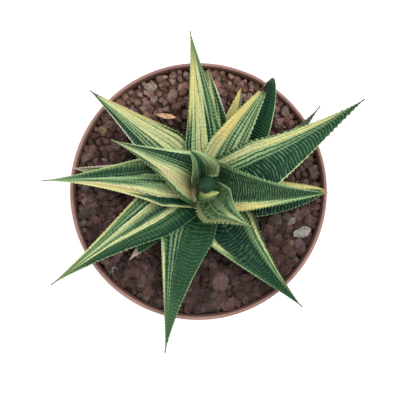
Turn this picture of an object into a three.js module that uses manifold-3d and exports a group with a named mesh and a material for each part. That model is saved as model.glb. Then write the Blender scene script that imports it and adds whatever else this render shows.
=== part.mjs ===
// A variegated haworthia in a round pot: a rosette of stiff, tapering leaves with raised cross ridges, on a
// short rootstock that stands in potting mix under a layer of crushed lava.
// Millimetres, +Z up. The origin is the centre of the pot's underside, on the surface that it stands on.
// +X points to 3 o'clock and +Y to 12 o'clock as the plant is seen from above.
import * as THREE from "three";
import { mergeVertices } from "three/addons/utils/BufferGeometryUtils.js";
import Module from "manifold-3d";

const wasm = await Module();
wasm.setup();

// Driving dimensions of the pot
const POT_HEIGHT = 76;
const RIM_RADIUS = 45;
const RIM_LIP = 1.2;
const RIM_ROUND = 0.5;
const COLLAR_HEIGHT = 13;
const COLLAR_FOOT_RADIUS = 44.3;
const NECK_RADIUS = 43.3;
const BASE_RADIUS = 32;
const WALL = 1.2;
const POT_SIDES = 48;
const FLOOR_TOP = 3.6;
const FOOT_RING_WIDTH = 4;
const CENTRE_PAD_RADIUS = 11;
const CHANNEL_DEPTH = 2;
const DRAIN_HOLES = 8;
const DRAIN_RADIUS = 2.6;
const DRAIN_CIRCLE = 19.5;
const DRAIN_SIDES = 12;
const NOTCHES = 4;
const NOTCH_WIDTH = 5;

// Driving dimensions of the fill
const CLEARANCE = 0.3;
const MESH_TOLERANCE = 0.04;
const MIX_TOP = 61;
const GRIT_BED_TOP = 66.2;
const GRIT_WALL_TOP = 71;
const GRIT_LEVEL_RADIUS = 14;
const STONES = 120;
const STONE_SIZE = 4.3;
const STONE_SEED = 7;

// The plant's own axis stands a little off the pot's
const STEM_X = 2.5;
const STEM_Y = 2.6;
const STEM_FOOT_Z = 40;
const STEM_FOOT_RADIUS = 2.6;
const STEM_COLLAR_Z = 69;
const STEM_COLLAR_RADIUS = 4.4;
const STEM_TOP_Z = 82;
const STEM_TOP_RADIUS = 2.2;
const STEM_SIDES = 12;

// The closed bud in the heart of the rosette
const BUD_FOOT_Z = STEM_TOP_Z + CLEARANCE;
const BUD_FOOT_RADIUS = 1.8;
const BUD_WIDEST_Z = 90;
const BUD_RADIUS = 3.1;
const BUD_TOP_Z = 97;
const BUD_SIDES = 14;

// Driving dimensions that all the leaves share
const RIDGE_PITCH = 2.8;
const RIDGE_HEIGHT = 0.28;
const MARGIN_TOOTH = 0.34;
const RIDGE_BOW = 0.16;
const RIDGES_FROM = 0.16;
const RIDGES_TO = 0.94;
const TIP_WIDTH = 0.45;
const LEAST_THICKNESS = 0.9;

// The leaves, youngest first, named after the hour that they point to on a clock face. root, bend and tip are
// [radius from the plant's axis, azimuth in degrees, height]: a leaf rises from root towards bend and ends at
// tip. width is the widest, thick the thickest, and neck and shoulder say how much of its width a leaf has at
// the root and how far out it reaches the full width. cup and dish are the hollow of the upper face at the root
// and along the blade, each as a share of half the width, and taper above 1 makes a slimmer point.
const LEAVES = [
  {
    name: "heart_leaf",
    root: [2.6, 205, 80.5],
    bend: [6.6, 238, 94],
    tip: [4.5, 328, 96],
    blade: { width: 5.6, thick: 1.6, neck: 0.8, shoulder: 0.5, cup: 0.5, dish: 0.3, taper: 0.55 },
  },
  {
    name: "inner_leaf_11",
    root: [2.2, 118, 80],
    bend: [8, 92, 101],
    tip: [12.7, 117.5, 103],
    blade: { width: 10.6, thick: 2.4, neck: 0.95, shoulder: 0.4, cup: 0.4, dish: 0.3, taper: 0.55 },
  },
  {
    name: "inner_leaf_4",
    root: [2.8, 282, 78.5],
    bend: [8.5, 283, 94],
    tip: [20.1, 316.6, 100],
    blade: { width: 14.4, thick: 3, neck: 0.6, shoulder: 0.46, cup: 0.5, dish: 0.25, taper: 1.4 },
  },
  {
    name: "inner_leaf_10",
    root: [2.8, 155, 77.5],
    bend: [8, 141, 95],
    tip: [35.6, 154.9, 98],
    blade: { width: 18, thick: 3.4, neck: 1, shoulder: 0.22, cup: 0.7, dish: 0.2, taper: 1.32 },
  },
  {
    name: "leaf_3",
    root: [3, 355, 76.5],
    bend: [13, 340, 90],
    tip: [41, 356.3, 92],
    blade: { width: 17.6, thick: 4.2, neck: 0.9, shoulder: 0.12, cup: 0.5, dish: 0.16, taper: 1.1 },
  },
  {
    name: "leaf_9",
    root: [3, 174, 75.8],
    bend: [18, 168, 88],
    tip: [55.7, 178.5, 93],
    blade: { width: 18.5, thick: 4.4, neck: 0.95, shoulder: 0.26, cup: 0.45, dish: 0.14, taper: 1.42 },
  },
  {
    name: "leaf_2",
    root: [3, 14, 75.8],
    bend: [21, 13.5, 90],
    tip: [60.4, 28.7, 95],
    blade: { width: 18.4, thick: 4.6, neck: 0.8, shoulder: 0.32, cup: 0.45, dish: 0.14, taper: 1.22 },
  },
  {
    name: "leaf_1",
    root: [3, 66, 74.2],
    bend: [15, 64, 82.5],
    tip: [39, 59, 93],
    blade: { width: 12.2, thick: 4, neck: 0.85, shoulder: 0.36, cup: 0.4, dish: 0.14, taper: 0.74 },
  },
  {
    name: "leaf_8",
    root: [3, 206, 74.2],
    bend: [22, 207, 83],
    tip: [63.1, 212.6, 89],
    blade: { width: 18, thick: 4.6, neck: 0.8, shoulder: 0.3, cup: 0.4, dish: 0.14, taper: 1.3 },
  },
  {
    name: "leaf_12",
    root: [3, 88, 73.8],
    bend: [17, 89, 84],
    tip: [51.9, 96.6, 96],
    blade: { width: 14, thick: 4.2, neck: 0.85, shoulder: 0.25, cup: 0.4, dish: 0.14, taper: 1.1 },
  },
  {
    name: "leaf_6",
    root: [3, 250, 73.2],
    bend: [22, 244.5, 82],
    tip: [59.4, 256, 87],
    blade: { width: 18.5, thick: 4.6, neck: 0.8, shoulder: 0.3, cup: 0.4, dish: 0.12, taper: 1.3 },
  },
  {
    name: "leaf_10",
    root: [3, 138, 72.8],
    bend: [18, 139, 82],
    tip: [50.9, 141.2, 90],
    blade: { width: 15.5, thick: 4.2, neck: 0.8, shoulder: 0.35, cup: 0.4, dish: 0.12, taper: 1.1 },
  },
  {
    name: "leaf_5",
    root: [3, 298, 72.4],
    bend: [20, 294, 81],
    tip: [53.4, 308, 86],
    blade: { width: 18.8, thick: 4.4, neck: 0.62, shoulder: 0.32, cup: 0.3, dish: 0.12, taper: 1.27 },
  },
  {
    name: "lower_leaf_1",
    root: [3, 46, 71.8],
    bend: [19, 36, 79],
    tip: [42.9, 58.3, 88],
    blade: { width: 13.4, thick: 3.8, neck: 0.8, shoulder: 0.45, cup: 0.35, dish: 0.12, taper: 0.6 },
  },
  {
    name: "lower_leaf_3",
    root: [3, 336, 71.6],
    bend: [16, 334, 77.5],
    tip: [41, 357, 82],
    blade: { width: 15.6, thick: 3.8, neck: 0.8, shoulder: 0.3, cup: 0.35, dish: 0.1, taper: 0.6 },
  },
  {
    name: "lower_leaf_9",
    root: [3, 168, 71.2],
    bend: [16, 172, 76.5],
    tip: [46.4, 173, 80],
    blade: { width: 12, thick: 3.4, neck: 0.8, shoulder: 0.3, cup: 0.35, dish: 0.1, taper: 0.95 },
  },
  {
    name: "lower_leaf_2",
    root: [3, 24, 71],
    bend: [26, 17, 77],
    tip: [47.6, 34.8, 84],
    blade: { width: 12, thick: 3.2, neck: 0.8, shoulder: 0.3, cup: 0.35, dish: 0.1, taper: 1.25 },
  },
  {
    name: "lower_leaf_12",
    root: [3, 84, 70.8],
    bend: [15, 82, 76.5],
    tip: [39.6, 89.6, 82],
    blade: { width: 16.4, thick: 3.4, neck: 0.8, shoulder: 0.32, cup: 0.35, dish: 0.1, taper: 0.78 },
  },
  {
    name: "old_leaf_1",
    root: [3, 66, 70.4],
    bend: [15, 60.5, 74],
    tip: [35.7, 70.3, 79],
    blade: { width: 10.4, thick: 3, neck: 0.8, shoulder: 0.3, cup: 0.3, dish: 0.1, taper: 0.85 },
  },
  {
    name: "old_leaf_8",
    root: [3, 222, 70.2],
    bend: [14, 222, 73.5],
    tip: [37.6, 224.5, 76],
    blade: { width: 11, thick: 3, neck: 0.8, shoulder: 0.3, cup: 0.3, dish: 0.1, taper: 0.9 },
  },
];

const COLOURS = {
  pot: { color: 0xa9644c, roughness: 0.55 },
  mix: { color: 0x3b2b22, roughness: 1 },
  grit: { color: 0x6b4a43, roughness: 0.95 },
  rootstock: { color: 0x8a6f4a, roughness: 0.9 },
  leaf: { color: 0x3f7048, roughness: 0.5 },
  heart: { color: 0x2c5a3c, roughness: 0.5 },
};

const radians = THREE.MathUtils.degToRad;
const smooth = THREE.MathUtils.smoothstep;
const blend = THREE.MathUtils.lerp;

// A closed shape as a solid that can be cut and joined
function solid(geometry) {
  const bare = new THREE.BufferGeometry();
  bare.setAttribute("position", geometry.getAttribute("position"));
  bare.setIndex(geometry.index);
  const { attributes, index } = mergeVertices(bare, 1e-4);
  return new wasm.Manifold(
    new wasm.Mesh({
      numProp: 3,
      vertProperties: attributes.position.array,
      triVerts: new Uint32Array(index.array),
    }),
  );
}

// A solid's own mesh, without the loose scraps that a cut may leave
function meshed(body) {
  const pieces = body.simplify(MESH_TOLERANCE).decompose();
  const mesh = pieces.sort((a, b) => b.volume() - a.volume())[0].getMesh();
  const geometry = new THREE.BufferGeometry();
  geometry.setAttribute("position", new THREE.BufferAttribute(new Float32Array(mesh.vertProperties), 3));
  geometry.setIndex(new THREE.BufferAttribute(new Uint32Array(mesh.triVerts), 1));
  return geometry;
}

function named(name, geometry, finish) {
  const material = new THREE.MeshStandardMaterial({ ...finish, metalness: 0, flatShading: true });
  const mesh = new THREE.Mesh(geometry, material);
  mesh.name = name;
  return mesh;
}

// A turned shape whose profile points are [radius, height], with +Z as its axis
function turned(profile, sides) {
  const points = profile.map(([radius, height]) => new THREE.Vector2(radius, height));
  return new THREE.LatheGeometry(points, sides).rotateX(Math.PI / 2);
}

function upright(radius, height, sides) {
  return new THREE.CylinderGeometry(radius, radius, height, sides).rotateX(Math.PI / 2);
}

// The wall's inside radius at a height: it widens evenly to the collar, and a little more above that
function innerRadius(height) {
  const neck = POT_HEIGHT - COLLAR_HEIGHT;
  if (height < neck) return blend(BASE_RADIUS, NECK_RADIUS, height / neck) - WALL;
  return blend(NECK_RADIUS - WALL, RIM_RADIUS - RIM_LIP, (height - neck) / COLLAR_HEIGHT);
}

// The pot: a thin tapered wall under a straight collar, with drain holes in a channel under its floor
function pot() {
  const neck = POT_HEIGHT - COLLAR_HEIGHT;
  const channelOuter = BASE_RADIUS - FOOT_RING_WIDTH;
  const rimInner = RIM_RADIUS - RIM_LIP;
  let body = solid(
    turned(
      [
        [0, 0],
        [CENTRE_PAD_RADIUS, 0],
        [CENTRE_PAD_RADIUS, CHANNEL_DEPTH],
        [channelOuter, CHANNEL_DEPTH],
        [channelOuter, 0],
        [BASE_RADIUS, 0],
        [NECK_RADIUS, neck],
        [COLLAR_FOOT_RADIUS, neck],
        [RIM_RADIUS, POT_HEIGHT - RIM_ROUND],
        [RIM_RADIUS - RIM_ROUND, POT_HEIGHT],
        [rimInner + RIM_ROUND, POT_HEIGHT],
        [rimInner, POT_HEIGHT - RIM_ROUND],
        [innerRadius(neck), neck],
        [innerRadius(FLOOR_TOP), FLOOR_TOP],
        [0, FLOOR_TOP],
      ],
      POT_SIDES,
    ),
  );
  const drain = solid(upright(DRAIN_RADIUS, 2 * FLOOR_TOP, DRAIN_SIDES).translate(DRAIN_CIRCLE, 0, FLOOR_TOP));
  for (let i = 0; i < DRAIN_HOLES; i++) {
    body = body.subtract(drain.rotate([0, 0, (i / DRAIN_HOLES) * 360]));
  }
  const cutter = new THREE.BoxGeometry(3 * FOOT_RING_WIDTH, NOTCH_WIDTH, 2 * CHANNEL_DEPTH);
  const notch = solid(cutter.translate(BASE_RADIUS - FOOT_RING_WIDTH / 2, 0, 0));
  for (let i = 0; i < NOTCHES; i++) {
    body = body.subtract(notch.rotate([0, 0, ((i + 0.5) / NOTCHES) * 360]));
  }
  return meshed(body);
}

// The rootstock, grown by margin all round where it cuts its neighbours clear
function rootstock(margin = 0) {
  return turned(
    [
      [0, STEM_FOOT_Z - margin],
      [STEM_FOOT_RADIUS + margin, STEM_FOOT_Z - margin],
      [STEM_COLLAR_RADIUS + margin, STEM_COLLAR_Z],
      [STEM_TOP_RADIUS + margin, STEM_TOP_Z + margin],
      [0, STEM_TOP_Z + margin],
    ],
    STEM_SIDES,
  ).translate(STEM_X, STEM_Y, 0);
}

// The plain hole in the fill where the rootstock stands
function stemHole() {
  const foot = STEM_FOOT_Z - CLEARANCE;
  const depth = STEM_COLLAR_Z + STONE_SIZE - foot;
  const hole = upright(STEM_COLLAR_RADIUS + CLEARANCE, depth, 2 * STEM_SIDES);
  return solid(hole.translate(STEM_X, STEM_Y, foot + depth / 2));
}

function pottingMix() {
  const foot = FLOOR_TOP + CLEARANCE;
  const body = turned(
    [
      [0, foot],
      [innerRadius(foot) - CLEARANCE, foot],
      [innerRadius(MIX_TOP) - CLEARANCE, MIX_TOP],
      [0, MIX_TOP],
    ],
    POT_SIDES,
  );
  return meshed(solid(body).subtract(stemHole()));
}

// A repeatable random number from 0 to 1
function randomFrom(seed) {
  let state = seed;
  return () => {
    state = (state * 1664525 + 1013904223) % 4294967296;
    return state / 4294967296;
  };
}

// The crushed lava: a bed that is level around the plant and rises from there to the wall, with angular stones
// sunk half into it, set out as seeds are in a sunflower
function lavaGrit() {
  const random = randomFrom(STONE_SEED);
  const foot = MIX_TOP + CLEARANCE;
  const edge = innerRadius(GRIT_WALL_TOP) - CLEARANCE;
  const reach = edge - STONE_SIZE;
  const parts = [
    solid(
      turned(
        [
          [0, foot],
          [innerRadius(foot) - CLEARANCE, foot],
          [edge, GRIT_WALL_TOP],
          [GRIT_LEVEL_RADIUS, GRIT_BED_TOP],
          [0, GRIT_BED_TOP],
        ],
        POT_SIDES,
      ),
    ),
  ];
  const goldenAngle = radians(137.508);
  for (let i = 0; i < STONES; i++) {
    const radius = reach * Math.sqrt((i + 0.5) / STONES);
    const x = radius * Math.cos(i * goldenAngle);
    const y = radius * Math.sin(i * goldenAngle);
    const size = STONE_SIZE * blend(0.8, 1.12, random());
    const stone = new THREE.OctahedronGeometry(size, 0);
    stone.scale(1, blend(0.75, 1, random()), blend(0.6, 0.8, random()));
    stone.rotateX(blend(-0.7, 0.7, random()));
    stone.rotateZ(2 * Math.PI * random());
    const rise = Math.max(0, (radius - GRIT_LEVEL_RADIUS) / (edge - GRIT_LEVEL_RADIUS));
    const bedTop = blend(GRIT_BED_TOP, GRIT_WALL_TOP, rise);
    stone.translate(x, y, bedTop + size * blend(-0.15, 0.1, random()));
    parts.push(solid(stone));
  }
  return meshed(wasm.Manifold.union(parts).subtract(stemHole()));
}

// A point given as [radius from the plant's axis, azimuth in degrees, height]
function planted([radius, azimuth, height]) {
  const turn = radians(azimuth);
  return new THREE.Vector3(STEM_X + radius * Math.cos(turn), STEM_Y + radius * Math.sin(turn), height);
}

// The share of its full width that a leaf has at t, from 0 at the root to 1 at the tip
function widthShare({ neck, shoulder, taper }, t) {
  if (t < shoulder) return blend(1, neck, (1 - t / shoulder) ** 2);
  return ((1 - t) / (1 - shoulder)) ** taper;
}

// The points round one section of a leaf: [across, face], where across runs from the left margin at -1 to the
// right one at 1, and face is 1 on the upper face, -1 on the underside and 0 on the margins.
const SECTION = [
  [-1, 0],
  [-0.55, 1],
  [0, 1],
  [0.55, 1],
  [1, 0],
  [0.55, -1],
  [-0.55, -1],
];

// The same with blunt margins, for the grown leaf that cuts its neighbours clear
const CUTTER_SECTION = [[-1, -1], [-1, 0], [-1, 1], ...SECTION.slice(1, 4), [1, 1], [1, 0], [1, -1], ...SECTION.slice(5)];

// The way straight out of a section's outline at one of its points, as [sideways, upwards]
function wayOut([across, face], half, hollow, thick) {
  const slope = (2 * across * (hollow + (face < 0 ? thick : 0))) / half;
  const length = Math.hypot(1, slope);
  if (face === 0) return [across / length, Math.abs(slope) / length];
  return [(-face * slope) / length, face / length];
}

// Where a leaf's rings lie along it, as [t, share of the full ridge]. After the first, every other one is the
// crest of a ridge.
function ridgedRings(length) {
  const ridges = Math.round((length * (RIDGES_TO - RIDGES_FROM)) / RIDGE_PITCH);
  const rings = [[0, 0]];
  for (let i = 0; i <= 2 * ridges; i++) {
    const t = blend(RIDGES_FROM, RIDGES_TO, i / (2 * ridges));
    const share = smooth(t, RIDGES_FROM - 0.05, 0.3) * (1 - 0.7 * smooth(t, 0.75, RIDGES_TO));
    rings.push([t, i % 2 === 1 ? share : 0]);
  }
  return rings;
}

// One leaf, as rings of points along its line. With margin, it is the plain leaf without its ridges, grown by
// that much all round.
function leafShape({ root, bend, tip, blade }, margin = 0) {
  const line = new THREE.QuadraticBezierCurve3(planted(root), planted(bend), planted(tip));
  const section = margin ? CUTTER_SECTION : SECTION;
  const rings = ridgedRings(line.getLength()).filter(([, raised]) => margin === 0 || raised === 0);
  const heading = line.v2.clone().sub(line.v0);
  const level = new THREE.Vector3(heading.y, -heading.x, 0).normalize();
  const positions = [];
  for (const [t, raised] of rings) {
    const along = line.getTangentAt(t);
    const side = level.clone().addScaledVector(along, -level.dot(along)).normalize();
    const up = side.clone().cross(along);
    const half = Math.max((blade.width / 2) * widthShare(blade, t), TIP_WIDTH);
    const hollow = half * blend(blade.cup, blade.dish, smooth(t, 0, 0.4));
    const thick = Math.max(blade.thick * Math.min(1, 0.75 + t) * (1 - t) ** 0.55, LEAST_THICKNESS);
    const bow = RIDGE_BOW * half * smooth(t, 0.1, 0.3) * (1 - smooth(t, 0.7, 1));
    const back = t === 0 ? margin : 0;
    for (const [across, face] of section) {
      const lift = hollow * (across ** 2 - 0.35) - (face < 0 ? thick * (1 - across ** 2) : 0);
      const out = margin + raised * (face === 0 ? MARGIN_TOOTH : RIDGE_HEIGHT);
      const [sideways, upwards] = wayOut([across, face], half, hollow, thick);
      const point = line
        .getPointAt(t)
        .addScaledVector(side, half * across + out * sideways)
        .addScaledVector(up, lift + out * upwards)
        .addScaledVector(along, bow * (1 - across ** 2) - back);
      positions.push(...point);
    }
  }
  positions.push(...line.getPointAt(0).addScaledVector(line.getTangentAt(0), -margin));
  positions.push(...line.getPointAt(1).addScaledVector(line.getTangentAt(1), margin));
  const count = section.length;
  const last = (rings.length - 1) * count;
  const rootEnd = last + count;
  const faces = [];
  for (let k = 0; k < count; k++) {
    const next = (k + 1) % count;
    faces.push(rootEnd, next, k);
    for (let ring = 0; ring < last; ring += count) {
      faces.push(ring + k, ring + next, ring + count + next);
      faces.push(ring + k, ring + count + next, ring + count + k);
    }
    faces.push(rootEnd + 1, last + k, last + next);
  }
  const geometry = new THREE.BufferGeometry();
  geometry.setAttribute("position", new THREE.Float32BufferAttribute(positions, 3));
  geometry.setIndex(faces);
  return geometry;
}

// The closed bud, grown by margin all round where it cuts its neighbours clear
function bud(margin = 0) {
  return turned(
    [
      [0, BUD_FOOT_Z - margin],
      [BUD_FOOT_RADIUS + margin, BUD_FOOT_Z - margin],
      [BUD_RADIUS + margin, BUD_WIDEST_Z],
      [BUD_RADIUS * 0.86 + margin, blend(BUD_WIDEST_Z, BUD_TOP_Z, 0.55)],
      [BUD_RADIUS * 0.5 + margin, blend(BUD_WIDEST_Z, BUD_TOP_Z, 0.86)],
      [0, BUD_TOP_Z + margin],
    ],
    BUD_SIDES,
  ).translate(STEM_X, STEM_Y, 0);
}

// The leaves, each cut clear of the rootstock, of the bud and of every younger leaf that it lies against
function leaves() {
  const taken = [solid(rootstock(CLEARANCE)), solid(bud(CLEARANCE))];
  return LEAVES.map((leaf) => {
    const body = solid(leafShape(leaf)).subtract(wasm.Manifold.union(taken));
    taken.push(solid(leafShape(leaf, CLEARANCE + MARGIN_TOOTH)));
    return named(leaf.name, meshed(body), COLOURS.leaf);
  });
}

const plant = new THREE.Group();
plant.add(named("pot", pot(), COLOURS.pot));
plant.add(named("potting_mix", pottingMix(), COLOURS.mix));
plant.add(named("lava_grit", lavaGrit(), COLOURS.grit));
plant.add(named("rootstock", meshed(solid(rootstock())), COLOURS.rootstock));
plant.add(named("heart_bud", meshed(solid(bud())), COLOURS.heart));
plant.add(...leaves());

export default plant;
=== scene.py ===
import math
import random

import bpy
import numpy as np
from mathutils import Matrix, Vector


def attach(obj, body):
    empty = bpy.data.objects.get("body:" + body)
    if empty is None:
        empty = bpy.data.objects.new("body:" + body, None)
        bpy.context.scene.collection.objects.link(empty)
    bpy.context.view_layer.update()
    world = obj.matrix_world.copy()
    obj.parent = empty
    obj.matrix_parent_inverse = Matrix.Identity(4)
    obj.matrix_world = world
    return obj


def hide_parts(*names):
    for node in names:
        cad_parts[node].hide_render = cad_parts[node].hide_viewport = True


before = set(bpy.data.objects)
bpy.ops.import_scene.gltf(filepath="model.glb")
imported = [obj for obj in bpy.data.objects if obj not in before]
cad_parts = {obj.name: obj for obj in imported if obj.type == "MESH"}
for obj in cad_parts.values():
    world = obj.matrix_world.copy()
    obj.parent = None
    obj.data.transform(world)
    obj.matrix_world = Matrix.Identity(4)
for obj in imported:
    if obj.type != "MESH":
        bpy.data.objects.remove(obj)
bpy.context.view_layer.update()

# A potted haworthia seen from straight above: a rosette of stiff striped leaves with raised cross
# ridges, in a thin terracotta-coloured pot that is topped with lava grit. All sizes are in
# millimetres and become metres through MM. The leaf lines and the pot's profile are the ones of
# the solid model, and this script gives them their ridges, teeth, stripes and finishes.

MM = 0.001
WHOLE_TURN = 2 * math.pi
PHOTO_LIGHT = 1.18  # how much brighter than its own colour a level surface shows


# Camera

CAMERA_AIM = Vector((0.385, -2.867, 76.0)) * MM
CAMERA_EYE = Vector((-10.720, 8.238, 525.726)) * MM
CAMERA_LENS = 115.83
CAMERA_SENSOR = 36.0
CAMERA_NEAREST = 0.01
CAMERA_FARTHEST = 20.0


def set_camera():
    let_go()
    bpy.ops.object.camera_add(location=CAMERA_EYE)
    camera = bpy.context.object
    camera.name = "camera_above"
    back = (CAMERA_EYE - CAMERA_AIM).normalized()
    north = (Vector((0, 1, 0)) - back * back.y).normalized()
    east = north.cross(back)
    turn = Matrix((east, north, back)).transposed()
    camera.matrix_world = Matrix.Translation(CAMERA_EYE) @ turn.to_4x4()
    camera.data.lens = CAMERA_LENS
    camera.data.sensor_width = CAMERA_SENSOR
    camera.data.clip_start = CAMERA_NEAREST
    camera.data.clip_end = CAMERA_FARTHEST
    bpy.context.scene.camera = camera


# Handling pieces


def let_go():
    """Leaves edit mode and deselects everything."""
    if bpy.context.mode != "OBJECT":
        bpy.ops.object.mode_set(mode="OBJECT")
    bpy.ops.object.select_all(action="DESELECT")


def take(piece):
    """Selects one piece and makes it the active one."""
    let_go()
    piece.select_set(True)
    bpy.context.view_layer.objects.active = piece


def edit(piece):
    take(piece)
    bpy.ops.object.mode_set(mode="EDIT")
    bpy.ops.mesh.select_all(action="SELECT")


def just_made(name):
    piece = bpy.context.object
    piece.name = name
    piece.data.name = name
    return piece


def add_ball(name, segments, rings):
    """A unit ball, and each vertex's share of the way from pole to pole and its turn."""
    let_go()
    bpy.ops.mesh.primitive_uv_sphere_add(segments=segments, ring_count=rings, radius=1.0)
    piece = just_made(name)
    spots = np.empty(len(piece.data.vertices) * 3)
    piece.data.vertices.foreach_get("co", spots)
    x, y, z = spots.reshape(-1, 3).T
    return piece, np.arctan2(np.hypot(x, y), z) / math.pi, np.arctan2(y, x)


def set_places(piece, places):
    """Moves a piece's vertices to places in millimetres."""
    piece.data.vertices.foreach_set("co", (places * MM).ravel())
    piece.data.update()


def mark(piece, name, values):
    """Stores three values for each vertex, which the piece's material reads by this name."""
    layer = piece.data.attributes.new(name, "FLOAT_VECTOR", "POINT")
    layer.data.foreach_set("vector", np.ravel(values))


def finish_piece(piece, material, node, smooth_angle=None):
    """Faces outwards, smooth shading, its material and body, and hides the node it stands for."""
    while piece.data.uv_layers:
        piece.data.uv_layers.remove(piece.data.uv_layers[0])
    edit(piece)
    bpy.ops.mesh.normals_make_consistent(inside=False)
    take(piece)
    if smooth_angle is None:
        bpy.ops.object.shade_smooth()
    else:
        bpy.ops.object.shade_smooth_by_angle(angle=math.radians(smooth_angle))
    piece.data.materials.clear()
    piece.data.materials.append(material)
    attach(piece, "root")
    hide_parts(node)


def smooth(value, low, high):
    """Rises softly from 0 at the low value to 1 at the high one."""
    share = np.clip((value - low) / (high - low), 0, 1)
    return share * share * (3 - 2 * share)


# Colours


def lit(red, green, blue):
    """The surface colour that shows as this screen colour under the studio light."""
    shown = [value / 255 for value in (red, green, blue)]
    linear = [v / 12.92 if v <= 0.04045 else ((v + 0.055) / 1.055) ** 2.4 for v in shown]
    return (*[v / PHOTO_LIGHT for v in linear], 1.0)


PAINTS = {
    # Nearly black green: painted shade along the seams of the heart bud.
    "seam_shade": lit(16, 34, 30),
    "ink": lit(10, 48, 36),
    "deep": lit(14, 56, 38),
    "green": lit(34, 76, 44),
    "olive": lit(40, 70, 38),
    "mid": lit(70, 104, 66),
    "moss": lit(108, 134, 86),
    "sage": lit(124, 156, 110),
    "pale": lit(160, 186, 134),
    "cream": lit(206, 210, 150),
    "yellow": lit(218, 208, 134),
    "rim": lit(190, 214, 148),
    "crest": lit(126, 164, 138),
    "white": lit(222, 224, 200),
    "peach": lit(222, 200, 152),
    "straw": lit(196, 176, 100),
    "drab": lit(142, 138, 96),
    "husk": lit(206, 184, 168),
    "dust": lit(96, 106, 88),
    "tan": lit(170, 138, 98),
    "ash": lit(136, 128, 110),
    "rust": lit(100, 62, 50),
    "plum": lit(60, 38, 46),
    "slate": lit(46, 72, 56),
    "lime": lit(180, 188, 104),
    "butter": lit(238, 220, 142),
    # A paler mint than the leaves' own margins: painted light on margins that lie in shade.
    "mint": lit(218, 242, 182),
}

# How strongly the cross ridges stand up on a stripe of this paint.
RELIEF = {
    "ink": 1.0, "deep": 1.0, "green": 0.9, "olive": 0.9, "mid": 0.7, "moss": 0.6, "sage": 0.4,
    "pale": 0.3, "cream": 0.15, "yellow": 0.15, "rim": 0.2, "white": 0.3, "straw": 0.2, "ash": 0.4,
    "peach": 0.15, "husk": 0.4, "drab": 0.3, "lime": 0.3, "butter": 0.15, "mint": 0.2,
}


# Nodes


class Output:
    """An output of a node. Arithmetic with it adds math nodes to its tree."""

    def __init__(self, tree, socket):
        self.tree = tree
        self.socket = socket

    def __add__(self, other):
        return maths("ADD", self, other)

    def __sub__(self, other):
        return maths("SUBTRACT", self, other)

    def __mul__(self, other):
        return maths("MULTIPLY", self, other)

    def __truediv__(self, other):
        return maths("DIVIDE", self, other)

    def __abs__(self):
        return maths("ABSOLUTE", self)


def feed(socket, value):
    """Links an output to a node's input, or sets the input to a plain value."""
    if isinstance(value, Output):
        value.tree.links.new(value.socket, socket)
    else:
        socket.default_value = value


def put(tree, kind, output, inputs=(), **settings):
    """Adds a node with its settings and its inputs, in order or by name. Gives one output."""
    node = tree.nodes.new(kind)
    for name, value in settings.items():
        setattr(node, name, value)
    named = inputs if isinstance(inputs, dict) else dict(enumerate(inputs))
    for key, value in named.items():
        feed(node.inputs[key], value)
    return Output(tree, node.outputs[output])


def tree_of(*values):
    return next(value.tree for value in values if isinstance(value, Output))


def maths(operation, *values, clamp=False):
    return put(tree_of(*values), "ShaderNodeMath", 0, values, operation=operation, use_clamp=clamp)


def remap(value, from_low, from_high, to_low=0.0, to_high=1.0, kind="SMOOTHSTEP"):
    inputs = (value, from_low, from_high, to_low, to_high)
    return put(value.tree, "ShaderNodeMapRange", 0, inputs, interpolation_type=kind)


def blend(factor, first, second, mode="MIX"):
    inputs = {0: factor, 6: first, 7: second}
    tree = tree_of(factor, first, second)
    return put(tree, "ShaderNodeMix", 2, inputs, data_type="RGBA", blend_type=mode)


def point(x, y, z):
    return put(tree_of(x, y, z), "ShaderNodeCombineXYZ", 0, (x, y, z))


def parts_of(source):
    whole = put(source.tree, "ShaderNodeSeparateXYZ", 0, (source,)).socket.node
    return [Output(source.tree, socket) for socket in whole.outputs]


def shaded(colour, shade):
    """A colour made darker or lighter by a factor."""
    return blend(1.0, colour, point(shade, shade, shade), "MULTIPLY")


def noise(where, scale=1.0, detail=2.0, roughness=0.5):
    inputs = {"Vector": where, "Scale": scale, "Detail": detail, "Roughness": roughness}
    return put(where.tree, "ShaderNodeTexNoise", "Fac", inputs)


def attribute(tree, name):
    return put(tree, "ShaderNodeAttribute", "Vector", attribute_name=name)


def object_place(tree):
    return put(tree, "ShaderNodeTexCoord", "Object")


def colour_ramp(position, stops):
    """A colour ramp with these stops, each a place and its colour."""
    ramp = put(position.tree, "ShaderNodeValToRGB", "Color", (position,))
    elements = ramp.socket.node.color_ramp.elements
    elements[0].position, elements[0].color = stops[0]
    elements[-1].position, elements[-1].color = stops[-1]
    for place, colour in stops[1:-1]:
        elements.new(place).color = colour
    return ramp


def new_material(name):
    material = bpy.data.materials.new(name)
    material.use_nodes = True
    tree = material.node_tree
    return material, tree, tree.nodes["Principled BSDF"]


def finish_skin(skin, colour, roughness, height, relief):
    """Feeds a surface its colour and roughness, and its fine relief through a Bump node."""
    feed(skin.inputs["Base Color"], colour)
    feed(skin.inputs["Roughness"], roughness)
    strength, distance = relief
    inputs = {"Height": height, "Strength": strength, "Distance": distance}
    feed(skin.inputs["Normal"], put(height.tree, "ShaderNodeBump", "Normal", inputs))


# Shader node groups

FLOAT = "NodeSocketFloat"
COLOUR = "NodeSocketColor"
VECTOR = "NodeSocketVector"
KINDS = {"VALUE": FLOAT, "RGBA": COLOUR, "VECTOR": VECTOR}


def label(key):
    return key.replace("_", " ").title()


def make_group(name, effect, **takes):
    """A group with these inputs. The effect turns them into its outputs, which it names."""
    tree = bpy.data.node_groups.new(name, "ShaderNodeTree")
    for key, kind in takes.items():
        tree.interface.new_socket(name=label(key), in_out="INPUT", socket_type=kind)
    entry = tree.nodes.new("NodeGroupInput").outputs
    made = effect(**{key: Output(tree, entry[label(key)]) for key in takes})
    for key, output in made.items():
        kind = KINDS[output.socket.type]
        tree.interface.new_socket(name=label(key), in_out="OUTPUT", socket_type=kind)
    outlet = tree.nodes.new("NodeGroupOutput").inputs
    for key, output in made.items():
        feed(outlet[label(key)], output)
    return tree


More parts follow.
